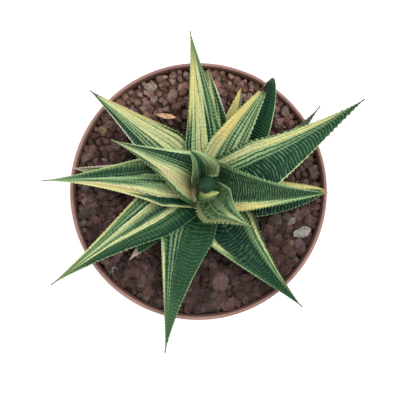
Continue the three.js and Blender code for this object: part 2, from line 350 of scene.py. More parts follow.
def use_group(tree, group, **inputs):
    """Places a group with its own values in a tree, and gives its outputs by name."""
    named = {label(key): value for key, value in inputs.items()}
    node = put(tree, "ShaderNodeGroup", 0, named, node_tree=group).socket.node
    return {socket.name.lower(): Output(tree, socket) for socket in node.outputs}


# Leaf effects

# Patterns on a leaf: how fine across and along the blade, their detail and their roughness.
SWAY = (2.5, 2.2, 1.0, 0.5)
JAG = (9.0, 26.0, 2.0, 0.5)
STRIPE_ENDS = (8.0, 0.8, 1.0, 0.5)
LONG_THREADS = (6.5, 1.1, 1.0, 0.5)
FRECKLES = (20.0, 105.0, 2.0, 0.7)
CELLS = (11.0, 52.0, 3.0, 0.75)
VEINS = (2.4, 3.0, 0.6)  # along the blade only, as each leaf has its own fineness across it
BREAKS = (30.0, 3.0, 0.7)
VEIN_STRENGTH = 0.8
VALLEY_COLOUR = (0.004, 0.012, 0.008, 1.0)
STRIPE_SOFTNESS = 0.008
STRIPE_OVERLAP = 0.1
TIP_BLEND = 0.2
DRY_BLEND = 0.05
LEAF_SPECULAR = 0.08
LEAF_GRAIN = 2600.0
LEAF_RELIEF = (0.55, 0.00018)
SEED_STEP = 3.7  # keeps the patterns of two leaves apart


def pattern(place, fineness, seed):
    """Noise that is drawn out along a leaf."""
    by_width, by_length, detail, roughness = fineness
    across, along, _ = parts_of(place)
    return noise(point(across * by_width, along * by_length, seed), 1.0, detail, roughness)


def find_stripes(place, wander, turnover, veins, seed):
    """Where a point lies across the stripes, wandering a little, and how far out it is."""
    across, along, _ = parts_of(place)
    jag = pattern(place, JAG, seed) - 0.5
    sway = pattern(place, SWAY, seed) - 0.5
    reach = (pattern(place, STRIPE_ENDS, seed) - 0.5) * 0.6 + along
    gap = abs(jag) * 0.12 + abs(pattern(place, LONG_THREADS, seed) - 0.5)
    return dict(
        across=remap((jag * 0.9 + sway) * wander + across, -1.0, 1.0, kind="LINEAR"),
        outer=remap(reach, turnover - STRIPE_OVERLAP, turnover + STRIPE_OVERLAP),
        vein=remap(pattern(place, (veins, *VEINS), seed), 0.3, 0.7),
        thread=remap(gap, 0.02, 0.075, 1.0, 0.0),
    )


def find_ridges(ridge, place, width, breaks):
    """The thin crest of each cross ridge, broken a little, and the valleys between them."""
    level, sideways, _ = parts_of(ridge)
    away = abs(maths("ARCTAN2", sideways, level)) / math.pi
    strength = maths("SQRT", level * level + sideways * sideways)
    broken = remap(pattern(place, (breaks, *BREAKS), 3.0), 0.4, 0.62, 0.02, 1.1)
    return dict(
        crest=remap(away, 0.0, width, 1.0, 0.0) * strength * broken,
        valley=remap(away, 0.35, 0.95) * strength,
    )


def lay_skin(colour, place, vein, thread, crest, valley, threads, freckles, crest_strength, crest_colour):
    """Lays veins, pale crests and dark valleys over the stripe colour, strongest on the green."""
    red = put(colour.tree, "ShaderNodeSeparateColor", 0, (colour,))
    green = remap(red, 0.08, 0.3, 1.0, 0.0)
    shade = remap(vein, 0.0, 1.0, 0.72, 1.22, "LINEAR")
    veined = blend(VEIN_STRENGTH, colour, shaded(colour, shade))
    thread_tone = blend(green, PAINTS["mid"], PAINTS["sage"])
    threaded = blend(thread * threads * (green * -0.35 + 1.0), veined, thread_tone)
    freckle = remap(pattern(place, FRECKLES, 7.0), 0.58, 0.7, 0.0, freckles)
    freckled = blend(freckle * green, threaded, PAINTS["sage"])
    mottle = remap(pattern(place, CELLS, 11.0), 0.34, 0.66, 0.76, 1.24, "LINEAR")
    sunk = blend(valley * (green * 0.5 + 0.02), shaded(freckled, mottle), VALLEY_COLOUR)
    raised = crest * (green * 0.93 + 0.07) * crest_strength
    return dict(colour=blend(raised, sunk, crest_colour), green=green)


def lay_margin(colour, edge, along, crest, width, strength, margin_colour):
    """A pale hard margin with paler teeth, as wide in millimetres as the width says."""
    wide = width * (crest * 0.9 + 0.6)
    near = remap(edge, wide * 0.35, wide, 1.0, 0.0)
    rootward = remap(along, 0.12, 0.32, 0.3, 1.0)
    tipward = remap(along, 0.9, 0.99, 1.0, 0.2)
    shown = near * (strength * (crest * 0.7 + 0.35)) * rootward
    return dict(colour=blend(maths("MULTIPLY", shown, tipward, clamp=True), colour, margin_colour))


def dry_end(colour, place, start, dry_colour, seed):
    """Turns the end of a leaf to its dried colour past the start, with a frayed border."""
    across, along, _ = parts_of(place)
    where = point(across * 4.0, along * 22.0, seed)
    frayed = (noise(where, 1.0, 3.0) - 0.5) * 0.12 + along
    dry = remap(frayed, start, start + DRY_BLEND)
    blotch = remap(noise(where, 2.3, 3.0, 0.7), 0.3, 0.7, 0.45, 1.25)
    return dict(colour=blend(dry, colour, shaded(dry_colour, blotch)), dry=dry)


LEAF_STRIPES = make_group(
    "leaf stripes", find_stripes,
    place=VECTOR, wander=FLOAT, turnover=FLOAT, veins=FLOAT, seed=FLOAT,
)
LEAF_RIDGES = make_group(
    "leaf ridges", find_ridges,
    ridge=VECTOR, place=VECTOR, width=FLOAT, breaks=FLOAT,
)
LEAF_SKIN = make_group(
    "leaf skin", lay_skin,
    colour=COLOUR, place=VECTOR, vein=FLOAT, thread=FLOAT, crest=FLOAT, valley=FLOAT, threads=FLOAT,
    freckles=FLOAT, crest_strength=FLOAT, crest_colour=COLOUR,
)
LEAF_MARGIN = make_group(
    "leaf margin", lay_margin,
    colour=COLOUR, edge=FLOAT, along=FLOAT, crest=FLOAT, width=FLOAT, strength=FLOAT,
    margin_colour=COLOUR,
)
DRIED_TIP = make_group(
    "dried tip", dry_end,
    colour=COLOUR, place=VECTOR, start=FLOAT, dry_colour=COLOUR, seed=FLOAT,
)


def stripe_ramp(position, stripes):
    """A colour ramp with one flat band for each stripe. It holds 16 stripes at most."""
    stops = []
    left = 0.0
    for right_end, paint in stripes:
        right = (right_end + 1) / 2
        soft = min(STRIPE_SOFTNESS, (right - left) * 0.3)
        stops.append((left + soft, PAINTS[paint]))
        stops.append((right - soft, PAINTS[paint]))
        left = right
    return colour_ramp(position, stops)


def leaf_material(leaf, number):
    material, tree, skin = new_material(leaf["name"] + "_skin")
    place = attribute(tree, "place")
    ridge = attribute(tree, "ridge")
    _, along, under = parts_of(place)
    _, _, edge = parts_of(ridge)
    seed = number * SEED_STEP
    stripes = use_group(
        tree, LEAF_STRIPES, place=place, wander=leaf["wander"], turnover=leaf["turnover"],
        veins=leaf["veins"], seed=seed,
    )
    near = stripe_ramp(stripes["across"], leaf["near"])
    far = stripe_ramp(stripes["across"], leaf["far"])
    painted = blend(stripes["outer"], near, far)
    if leaf["tip_from"]:
        turning = remap(along, leaf["tip_from"], leaf["tip_from"] + TIP_BLEND, 0.0, 0.85)
        painted = blend(turning, painted, PAINTS[leaf["tip_paint"]])
    ridges = use_group(
        tree, LEAF_RIDGES, ridge=ridge, place=place, width=leaf["crest_width"], breaks=leaf["breaks"],
    )
    surface = use_group(
        tree, LEAF_SKIN, colour=blend(under * 0.5, painted, PAINTS["green"]), place=place,
        vein=stripes["vein"], thread=stripes["thread"], crest=ridges["crest"],
        valley=ridges["valley"], threads=leaf["threads"], freckles=leaf["freckles"],
        crest_strength=leaf["crest"], crest_colour=PAINTS[leaf["crest_paint"]],
    )
    edged = use_group(
        tree, LEAF_MARGIN, colour=surface["colour"], edge=edge, along=along, crest=ridges["crest"],
        width=leaf["margin_width"], strength=leaf["margin"],
        margin_colour=PAINTS[leaf["margin_paint"]],
    )
    ended = use_group(
        tree, DRIED_TIP, colour=edged["colour"], place=place, start=leaf["dry_from"],
        dry_colour=PAINTS[leaf["dry_paint"]], seed=seed,
    )
    feed(skin.inputs["Specular IOR Level"], LEAF_SPECULAR)
    waxy = ridges["crest"] * 0.12 + (surface["green"] * -0.06 + 0.46)
    roughness = maths("ADD", ended["dry"] * 0.3, waxy, clamp=True)
    grain = noise(object_place(tree), LEAF_GRAIN, 3.0, 0.6)
    height = ridges["crest"] * 0.9 + (stripes["vein"] * 0.5 + grain * 0.35)
    finish_skin(skin, ended["colour"], roughness, height, LEAF_RELIEF)
    return material


# Leaf shapes

PLANT_AXIS = (2.5, 2.6)
LINE_STEPS = 401
LEAF_SEGMENTS = 56
END_SPREAD = 0.03  # sets the rings at both ends a little further apart
RINGS_PER_RIDGE = 6
PITCH_AT_ROOT = 1.55
PITCH_AT_TIP = 1.05
RIDGE_HEIGHT = 0.28
TOOTH_HEIGHT = 0.22
CREST_SHARPNESS = 1.5
RIDGES_RISE = (0.04, 0.16)  # shares of the leaf's length
RIDGES_FADE = (0.82, 0.97)
RIDGES_LOST = 0.6  # at the tip
TEETH_RISE = (0.06, 0.2)
TEETH_FADE = (0.9, 1.0)
TEETH_LOST = 0.7
TIP_HALF = 0.22  # the least half width
TIP_THINNING = 0.55
KEEL_ROUNDNESS = 0.8
LEAST_THICKNESS = 0.5
MARGIN_FROM = 0.9  # share of the half width
FORKS_ALONG = (0.15, 0.85)
FORKS_ACROSS = (-0.8, 0.8)
STRIPE_BORDER = 0.04
RELIEF_OVERLAP = 0.15
STRAY_WIDE = (5.0, 0.5)  # across the blade, and for each millimetre along it
STRAY_FINE = (16.0, 1.6)
STRAY_FINE_SHARE = 0.35
POLE = 1e-6


def planted(radius, azimuth, height):
    """A point given from the plant's axis, in millimetres."""
    angle = math.radians(azimuth)
    x = PLANT_AXIS[0] + radius * math.cos(angle)
    y = PLANT_AXIS[1] + radius * math.sin(angle)
    return np.array([x, y, height])


class LeafLine:
    """The bent middle line of a leaf, by its length."""

    def __init__(self, root, bend, tip):
        self.points = [planted(*each) for each in (root, bend, tip)]
        self.u = np.linspace(0, 1, LINE_STEPS)
        steps = np.linalg.norm(np.diff(self.at(self.u), axis=0), axis=1)
        self.run = np.concatenate(([0.0], np.cumsum(steps)))
        self.length = self.run[-1]
        heading = self.points[2] - self.points[0]
        self.level = np.array([heading[1], -heading[0], 0.0])
        self.level /= np.linalg.norm(self.level)

    def at(self, u):
        u = u[:, None]
        first, second, third = self.points
        return (1 - u) ** 2 * first + 2 * u * (1 - u) * second + u**2 * third

    def frames(self, t):
        """Points, and the side and up directions there, at shares t of the length."""
        u = np.interp(t * self.length, self.run, self.u)
        first, second, third = self.points
        along = 2 * (1 - u)[:, None] * (second - first) + 2 * u[:, None] * (third - second)
        along /= np.linalg.norm(along, axis=1)[:, None]
        side = self.level - along * (along @ self.level)[:, None]
        side /= np.linalg.norm(side, axis=1)[:, None]
        return self.at(u), side, np.cross(side, along)


def width_share(leaf, t):
    inner = (1 - np.minimum(t / leaf["shoulder"], 1)) ** 2
    before = 1 + (leaf["neck"] - 1) * inner
    after = np.clip((1 - t) / (1 - leaf["shoulder"]), 0, 1) ** leaf["taper"]
    return np.where(t < leaf["shoulder"], before, after)


def waves(first, second, rng, count=5):
    """A smooth wandering value between about -1 and 1, from a few crossing waves."""
    total = np.zeros_like(first)
    for _ in range(count):
        x = rng.uniform(-1, 1)
        y = rng.uniform(-1, 1)
        total += np.sin(x * first + y * second + rng.uniform(0, WHOLE_TURN))
    return total / count


def ridge_turn(leaf, line, t, across, half, rng):
    """The ridge pattern's turn at each point: a whole turn from one crest to the next."""
    pitch_root = leaf["pitch"]
    pitch_tip = pitch_root * PITCH_AT_TIP / PITCH_AT_ROOT
    mean = (pitch_root + pitch_tip) / 2
    run = t * line.length
    turns = run / mean * (1 + (pitch_root - pitch_tip) / (2 * mean) * (t - 1))
    local = pitch_root + (pitch_tip - pitch_root) * t
    lean = leaf["bow"] * (1 - across**2) + leaf["slant"] * across * (1 - t)
    turns = turns - lean * half / local
    for by_width, by_length, share in ((*STRAY_WIDE, 1.0), (*STRAY_FINE, STRAY_FINE_SHARE)):
        turns += share * leaf["stray"] * waves(across * by_width, run * by_length, rng)
    for _ in range(leaf["forks"]):
        spot = rng.uniform(*FORKS_ALONG) * line.length
        spot_across = rng.uniform(*FORKS_ACROSS)
        sign = rng.choice((-1, 1))
        turns += sign * np.arctan2((across - spot_across) * half, run - spot) / WHOLE_TURN
    return turns * WHOLE_TURN


def stripe_relief(stripes, across):
    """The relief of the stripe at each point, softened a little over its borders."""
    ends = np.array([end for end, _ in stripes])
    relief = np.array([RELIEF[paint] for _, paint in stripes])
    total = 0
    for offset in (-STRIPE_BORDER, 0.0, STRIPE_BORDER):
        index = np.searchsorted(ends, np.clip(across + offset, -1, 0.999))
        total = total + relief[np.minimum(index, len(ends) - 1)]
    return total / 3


def leaf_relief(leaf, t, across):
    near = stripe_relief(leaf["near"], across)
    outer = smooth(t, leaf["turnover"] - RELIEF_OVERLAP, leaf["turnover"] + RELIEF_OVERLAP)
    return near + (stripe_relief(leaf["far"], across) - near) * outer


def blade_height(leaf, t, across, facing, half, raised):
    """The height over the leaf's line: hollow above, keeled below, and ridged on both faces."""
    dish = half * (leaf["cup"] + (leaf["dish"] - leaf["cup"]) * smooth(t, 0, 0.4))
    lift = dish * (across**2 - 0.35)
    thick = leaf["thick"] * np.minimum(1, 0.75 + t) * np.clip(1 - t, 0, 1) ** TIP_THINNING
    below = np.maximum(thick, LEAST_THICKNESS) * np.clip(1 - across**2, 0, 1) ** KEEL_ROUNDNESS
    return np.where(facing >= 0, lift + raised, lift - below - raised)


def margin_reach(leaf, t, run, across, crest, rng):
    """How far the teeth, and the scallops of the right-hand margin, stand out."""
    edge = smooth(np.abs(across), MARGIN_FROM, 1.0)
    share = smooth(t, *TEETH_RISE) * (1 - TEETH_LOST * smooth(t, *TEETH_FADE))
    size = leaf["tooth"] * TOOTH_HEIGHT * share
    uneven = 0.65 + 0.7 * np.abs(waves(run * 2.3, across * 9.0, rng))
    reach = np.sign(across) * edge * size * uneven * (crest - 0.3)
    if leaf["scallops"]:
        start, end, pitch, depth = leaf["scallops"]
        bulge = np.abs(np.sin(math.pi * run / pitch)) - 0.6
        shown = smooth(t, start, start + 0.08) * (1 - smooth(t, end - 0.04, end))
        reach += np.where(across > 0, edge * depth * bulge * shown, 0)
    return reach


def build_leaf(leaf, number):
    """A closed blank shaped along the leaf's line, with ridges across it and teeth on its margins."""
    rng = random.Random(leaf["name"])
    line = LeafLine(leaf["root"], leaf["bend"], leaf["tip"])
    mean_pitch = leaf["pitch"] * (1 + PITCH_AT_TIP / PITCH_AT_ROOT) / 2
    rings = int(line.length / mean_pitch * RINGS_PER_RIDGE)
    piece, row, angle = add_ball(leaf["name"] + "_ridged", LEAF_SEGMENTS, rings)
    t = row + END_SPREAD * np.sin(WHOLE_TURN * row) / WHOLE_TURN
    run = t * line.length
    pole = (row < POLE) | (row > 1 - POLE)
    across = np.where(pole, 0.0, -np.cos(angle))
    facing = np.where(pole, 0.0, np.sin(angle))
    half = np.maximum(leaf["width"] / 2 * width_share(leaf, t), TIP_HALF)
    tooth_turn = WHOLE_TURN * (run / leaf["tooth_pitch"] + waves(run, across * 3.0, rng))
    cross_turn = ridge_turn(leaf, line, t, across, half, rng)
    turn = np.where(np.abs(across) > MARGIN_FROM, tooth_turn, cross_turn)
    crest = ((1 + np.cos(turn)) / 2) ** CREST_SHARPNESS
    share = smooth(t, *RIDGES_RISE) * (1 - RIDGES_LOST * smooth(t, *RIDGES_FADE))
    raised = leaf["ridge"] * RIDGE_HEIGHT * share * crest * leaf_relief(leaf, t, across)
    height = blade_height(leaf, t, across, facing, half, raised)
    out = half * across + margin_reach(leaf, t, run, across, crest, rng)
    spot, side, up = line.frames(t)
    places = spot + side * out[:, None] + up * height[:, None]
    places[pole] = spot[pole]
    set_places(piece, places)
    under = np.clip(0.5 - 5 * facing, 0, 1)
    inset = (1 - np.abs(across)) * half
    mark(piece, "place", np.stack([across, t, under], axis=1))
    mark(piece, "ridge", np.stack([np.cos(turn) * share, np.sin(turn) * share, inset], axis=1))
    finish_piece(piece, leaf_material(leaf, number), leaf["name"])


# What a leaf has unless its own entry says otherwise: its slot, the course of its ridges, the
# height of ridges and teeth, how the stripes run, the pale crests, the margin, and its end.
USUAL = dict(
    slot="leaf", pitch=PITCH_AT_ROOT, bow=0.16, slant=0.0, stray=1.0, forks=9,
    ridge=1.0, tooth=1.0, tooth_pitch=1.15, scallops=None,
    turnover=0.5, wander=0.1, veins=14.0, threads=0.4, freckles=0.28,
    crest=0.5, crest_width=0.42, crest_paint="crest", breaks=7.0,
    margin=0.8, margin_width=0.5, margin_paint="rim",
    tip_from=None, tip_paint="green", dry_from=0.97, dry_paint="ash",
)


def striped(text):
    """Stripes from words such as "olive -0.9, cream 1": each paint and its right-hand end."""
    pairs = [each.split() for each in text.split(",")]
    return [(float(end), paint) for paint, end in pairs]


def dressed(name, near, far=None, **more):
    """A leaf's name, its stripes and what is unusual about it, over what is usual."""
    return {**USUAL, "name": name, "near": striped(near), "far": striped(far or near), **more}


def leaf(name, root, bend, tip, blade, near, far=None, **more):
    shape = dict(zip(("width", "thick", "neck", "shoulder", "cup", "dish", "taper"), blade))
    return dressed(name, near, far, root=root, bend=bend, tip=tip, **shape, **more)


# Each leaf has its line, given as root, bend and tip, each by its distance from the plant's axis, its
# azimuth and its height. Then comes its blade: width, thickness, width at the root as a share, place
# of the shoulder along it, depth of the hollow at the root and further out, and taper. The stripes
# run from the left-hand margin at -1 to the right-hand one at 1, looking from root to tip: near the
# root, and further out where they differ there.
LEAVES = [
    leaf(
        "heart_leaf", (2.6, 205, 80.5), (6.6, 238, 94), (4.5, 328, 96),
        (5.6, 1.6, 0.8, 0.5, 0.5, 0.3, 0.55),
        near="moss -0.6, lime 0.2, moss 0.6, olive 1",
        far="moss -0.7, lime -0.3, cream 0, lime 0.3, moss 0.6, olive 1",
        slot="heart", ridge=0.3, crest=0.15, tooth=0.3, pitch=1.0, turnover=0.66, dry_from=1.2,
    ),
    # The hood's stripes are lighter than its own colours: painted light on its shaded hollow inside,
    # brightest in the band along its right-hand margin.
    leaf(
        "inner_leaf_11", (2.2, 118, 80), (8, 92, 101), (12.7, 117.5, 103),
        (10.6, 2.4, 0.95, 0.4, 0.4, 0.3, 0.55),
        near="pale -0.94, moss -0.8, sage -0.64, moss -0.48, sage -0.34, mid -0.2, deep 0.02, green 0.18, "
             "sage 0.28, mid 0.38, pale 0.44, moss 0.54, rim 0.74, pale 0.8, mint 1",
        far="rim -0.9, moss -0.7, sage -0.4, green -0.2, deep 0.06, mid 0.16, pale 0.24, moss 0.34, "
            "sage 0.46, rim 0.8, mint 1",
        ridge=0.4, crest=0.25, pitch=1.2, dry_from=1.2, freckles=0.5, margin_width=0.6,
    ),
    leaf(
        "inner_leaf_4", (2.8, 282, 78.5), (8.5, 283, 94), (20.1, 316.6, 100),
        (14.4, 3, 0.6, 0.46, 0.5, 0.25, 1.4),
        near="pale -0.93, mid -0.8, green -0.5, deep -0.3, mid -0.2, sage -0.04, moss 0.08, olive 0.18, "
             "sage 0.28, green 0.4, olive 0.54, mid 0.64, deep 0.76, drab 0.92, olive 1",
        far="pale -0.88, sage -0.6, mid -0.4, deep -0.28, pale -0.1, cream 0.14, moss 0.26, olive 0.4, "
            "moss 0.6, drab 0.84, olive 1",
        ridge=1.2, crest=1.0, crest_width=0.5, crest_paint="pale", pitch=0.95, breaks=2.0, dry_from=1.2,
        turnover=0.6, freckles=0.5,
    ),
    # The mint band along its right-hand margin is painted light.
    leaf(
        "inner_leaf_10", (2.8, 155, 77.5), (8, 141, 95), (35.6, 154.9, 98),
        (18, 3.4, 1.0, 0.22, 0.7, 0.2, 1.32),
        near="olive -0.96, mid -0.84, cream -0.6, peach -0.4, cream 0, moss 0.06, pale 0.13, deep 0.2, "
             "sage 0.25, deep 0.32, sage 0.38, deep 0.74, mid 0.8, mint 1",
        far="olive -0.7, moss -0.6, cream -0.3, pale -0.04, moss 0.04, pale 0.12, deep 0.18, sage 0.26, "
            "green 0.34, sage 0.42, deep 0.8, rim 1",
        ridge=0.6, crest=0.35, dry_from=0.96, dry_paint="tan", tip_from=0.85, tip_paint="moss", threads=0.3,
    ),
    leaf(
        "leaf_3", (3, 355, 76.5), (13, 340, 90), (41, 356.3, 92), (17.6, 4.2, 0.9, 0.12, 0.5, 0.16, 1.1),
        near="sage -0.97, moss -0.82, green -0.74, olive 0.46, moss 0.54, cream 0.64, yellow 0.96, moss 1",
        far="pale -0.96, sage -0.72, green -0.64, olive 0.4, mid 0.54, moss 0.64, pale 0.84, moss 0.92, "
            "mid 1",
        crest=0.9, crest_width=0.34, turnover=0.52, pitch=1.15, tooth=1.3, stray=0.5, forks=7,
        dry_from=0.95, dry_paint="straw", breaks=3.0, threads=0.2, freckles=0.45, bow=0.3,
    ),
    leaf(
        "leaf_9", (3, 174, 75.8), (18, 168, 88), (55.7, 178.5, 93),
        (18.5, 4.4, 0.95, 0.26, 0.45, 0.14, 1.42),
        near="cream -0.94, green -0.88, deep -0.68, cream -0.4, pale -0.22, sage -0.14, green -0.06, "
             "sage 0.02, moss 0.08, pale 0.18, deep 0.5, green 0.62, moss 0.92, rim 1",
        far="cream -0.92, yellow -0.7, peach -0.52, cream -0.44, moss -0.38, sage -0.3, green -0.2, "
            "sage -0.08, pale 0.06, sage 0.14, deep 0.56, green 0.7, moss 0.93, rim 1",
        ridge=0.7, crest=0.26, turnover=0.38, dry_from=0.96, tip_from=0.7, tip_paint="sage", wander=0.14,
    ),
    leaf(
        "leaf_2", (3, 14, 75.8), (21, 13.5, 90), (60.4, 28.7, 95), (18.4, 4.6, 0.8, 0.32, 0.45, 0.14, 1.22),
        near="olive -0.93, moss -0.84, cream -0.62, moss -0.56, pale -0.5, green -0.44, pale -0.34, "
             "green -0.28, sage -0.2, deep 0.96, rim 1",
        far="moss -0.92, cream -0.82, moss -0.77, yellow -0.6, pale -0.5, deep -0.42, sage -0.32, "
            "deep -0.27, sage -0.18, green 0.96, rim 1",
        crest=1.0, turnover=0.42, pitch=1.75, slant=0.9, bow=0.6, stray=0.45, forks=6, ridge=1.2, tooth=1.7,
        tooth_pitch=1.6, scallops=(0.66, 0.96, 1.9, 0.6), tip_from=0.74, dry_from=0.96, dry_paint="rust",
        breaks=1.2, threads=0.1,
    ),
    leaf(
        "leaf_1", (3, 66, 74.2), (15, 64, 82.5), (39, 59, 93), (12.2, 4, 0.85, 0.36, 0.4, 0.14, 0.74),
        near="moss -0.96, cream -0.28, sage -0.2, deep -0.1, pale 0.02, deep 0.12, pale 0.26, deep 0.34, "
             "pale 0.54, deep 0.62, pale 0.78, deep 0.85, pale 0.95, sage 1",
        far="moss -0.95, butter -0.4, yellow -0.26, moss -0.18, pale -0.08, deep 0.02, pale 0.2, "
            "deep 0.3, pale 0.5, deep 0.58, sage 0.74, deep 0.82, pale 0.94, sage 1",
        crest=0.6, turnover=0.36, tooth=1.5, tooth_pitch=1.5, dry_from=0.9, dry_paint="plum",
    ),
    leaf(
        "leaf_8", (3, 206, 74.2), (22, 207, 83), (63.1, 212.6, 89), (18, 4.6, 0.8, 0.3, 0.4, 0.14, 1.3),
        near="green -0.98, deep -0.76, green -0.38, mid -0.3, cream -0.13, moss -0.06, deep 0.09, "
             "moss 0.24, cream 0.44, deep 0.53, sage 0.63, green 0.71, moss 0.8, mid 0.89, yellow 1",
        far="pale -0.98, deep -0.72, green -0.26, mid -0.2, cream -0.06, moss 0.04, green 0.12, "
            "pale 0.24, cream 0.4, sage 0.48, green 0.56, sage 0.66, mid 0.76, sage 0.86, yellow 1",
        ridge=0.6, crest=0.22, veins=18.0, tip_from=0.72, tip_paint="moss", breaks=3.0,
    ),
    leaf(
        "leaf_12", (3, 88, 73.8), (17, 89, 84), (51.9, 96.6, 96), (14, 4.2, 0.85, 0.25, 0.4, 0.14, 1.1),
        near="sage -0.94, deep -0.84, sage -0.78, deep -0.68, pale -0.52, green -0.47, cream -0.24, "
             "green -0.19, cream 0.14, deep 0.32, sage 0.38, deep 0.52, sage 0.68, green 0.84, sage 1",
        far="moss -0.93, yellow -0.22, cream -0.12, green -0.05, cream 0.28, pale 0.4, green 0.5, "
            "mid 0.62, sage 0.8, mid 0.92, sage 1",
        ridge=0.6, crest=0.35, turnover=0.48, veins=10.0, tip_from=0.72, tip_paint="moss", threads=0.15,
    ),
    leaf(
        "leaf_6", (3, 250, 73.2), (22, 244.5, 82), (59.4, 256, 87), (18.5, 4.6, 0.8, 0.3, 0.4, 0.12, 1.3),
        near="mid -0.96, green 0.22, moss 0.29, deep 0.37, sage 0.45, deep 0.54, sage 0.64, deep 0.76, "
             "mid 0.86, green 0.93, pale 1",
        far="pale -0.97, mid -0.9, green 0.22, mid 0.28, green 0.36, sage 0.45, green 0.53, moss 0.63, "
            "green 0.74, moss 0.84, cream 0.95, moss 1",
        ridge=0.7, crest=0.3, turnover=0.48, veins=20.0, tip_from=0.6, tip_paint="mid", breaks=2.0,
        threads=0.1, freckles=0.12, crest_width=0.36, margin=0.5,
    ),
    leaf(
        "leaf_10", (3, 138, 72.8), (18, 139, 82), (50.9, 141.2, 90), (15.5, 4.2, 0.8, 0.35, 0.4, 0.12, 1.1),
        near="white -0.94, deep -0.5, pale -0.42, deep -0.34, pale -0.24, green -0.16, pale -0.04, "
             "green 0.04, cream 0.3, pale 0.35, cream 0.66, moss 0.72, cream 0.88, green 1",
        far="white -0.92, deep -0.5, pale -0.4, green -0.3, pale -0.22, green -0.14, pale 0, moss 0.05, "
            "cream 0.5, pale 0.56, yellow 1",
        ridge=0.7, crest=0.45, turnover=0.62, dry_from=0.9, dry_paint="dust",
    ),
    leaf(
        "leaf_5", (3, 298, 72.4), (20, 294, 81), (53.4, 308, 86), (18.8, 4.4, 0.62, 0.32, 0.3, 0.12, 1.27),
        near="olive -0.92, drab -0.8, green -0.68, moss -0.56, green -0.42, ink 0.76, cream 0.94, sage 1",
        far="olive -0.88, cream -0.76, mid -0.64, sage -0.5, mid -0.36, deep 0.7, green 0.92, sage 1",
        crest=0.4, crest_width=0.46, crest_paint="sage", turnover=0.4, stray=0.9, bow=0.3, ridge=1.1,
        tip_from=0.72, margin=0.45, margin_paint="sage", breaks=2.5, threads=0.2, wander=0.16,
    ),
    leaf(
        "lower_leaf_1", (3, 46, 71.8), (19, 36, 79), (42.9, 58.3, 88),
        (13.4, 3.8, 0.8, 0.45, 0.35, 0.12, 0.6),
        near="deep 0.4, green 0.96, rim 1",
        crest=0.02, ridge=0.8, pitch=1.35, stray=0.5, margin_paint="white", margin_width=0.35, threads=0.05,
        freckles=0.15, dry_from=0.94, dry_paint="dust", forks=4, breaks=2.0,
    ),
    leaf(
        "lower_leaf_3", (3, 336, 71.6), (16, 334, 77.5), (41, 357, 82),
        (15.6, 3.8, 0.8, 0.3, 0.35, 0.1, 0.6),
        near="straw -0.94, yellow -0.55, moss -0.45, deep 0.95, sage 1",
        crest=0.9, crest_width=0.5, pitch=1.5, ridge=1.3, slant=0.7, stray=0.5, margin_paint="sage",
        threads=0.1, dry_from=0.95, dry_paint="straw",
    ),
    leaf(
        "lower_leaf_9", (3, 168, 71.2), (16, 172, 76.5), (46.4, 173, 80),
        (12, 3.4, 0.8, 0.3, 0.35, 0.1, 0.95),
        near="green 0.8, pale 1",
        far="husk -0.7, drab 0.45, olive 0.66, husk 1",
        crest=0.2, turnover=0.7, dry_from=0.93, dry_paint="husk", margin_paint="white",
    ),
    leaf(
        "lower_leaf_2", (3, 24, 71), (26, 17, 77), (47.6, 34.8, 84), (12, 3.2, 0.8, 0.3, 0.35, 0.1, 1.25),
        near="yellow 0.2, cream 1",
        far="straw 0.3, moss 1",
        crest=0.3, turnover=0.6, dry_from=0.74, dry_paint="dust",
    ),
    leaf(
        "lower_leaf_12", (3, 84, 70.8), (15, 82, 76.5), (39.6, 89.6, 82),
        (16.4, 3.4, 0.8, 0.32, 0.35, 0.1, 0.78),
        near="green -0.3, pale 0.1, deep 0.26, cream 0.4, deep 0.5, pale 0.64, olive 0.72, green 0.8, "
             "olive 0.94, sage 1",
        far="green -0.1, sage 0.12, cream 0.46, mid 0.56, olive 0.86, white 1",
        crest=0.3, turnover=0.66, tip_from=0.8, tip_paint="drab", margin_paint="white",
    ),
    leaf(
        "old_leaf_1", (3, 66, 70.4), (15, 60.5, 74), (35.7, 70.3, 79), (10.4, 3, 0.8, 0.3, 0.3, 0.1, 0.85),
        near="butter 0.4, ash 1",
        slot="old_leaf", crest=0.1, ridge=0.4, dry_from=0.95, dry_paint="tan", threads=0.1,
    ),
    leaf(
        "old_leaf_8", (3, 222, 70.2), (14, 222, 73.5), (37.6, 224.5, 76), (11, 3, 0.8, 0.3, 0.3, 0.1, 0.9),
        near="green 0.9, sage 1",
        slot="old_leaf", crest=0.3, dry_from=0.86, dry_paint="husk",
    ),
]


# Heart bud

BUD_FOOT = 82.3
BUD_TOP = 97.0
BUD_FOOT_RADIUS = 1.8
BUD_RADIUS = 3.1
BUD_WIDEST = 90.0
BUD_SEGMENTS = 72
BUD_ROWS = 60
BUD_SEAMS = 3
BUD_SEAM_DEPTH = 0.16
BUD_TWIST = 0.16
BUD_SEAM_WIDTH = 0.12  # share of the way from seam to seam
BUD_SEAM_REACH = 2.5
BUD_POINT = 0.05
BUD_RIDGES = 0.2

# The dark margin drawn along each seam is painted shade in the step where one rolled young leaf lies over
# the next.
BUD_LOOK = dressed(
    "heart_bud", "slate -0.5, green 0.2, slate 1",
    crest=0.0, dry_from=1.2, threads=0.0, freckles=0.0, margin=0.7, margin_width=0.6,
    margin_paint="seam_shade",
)


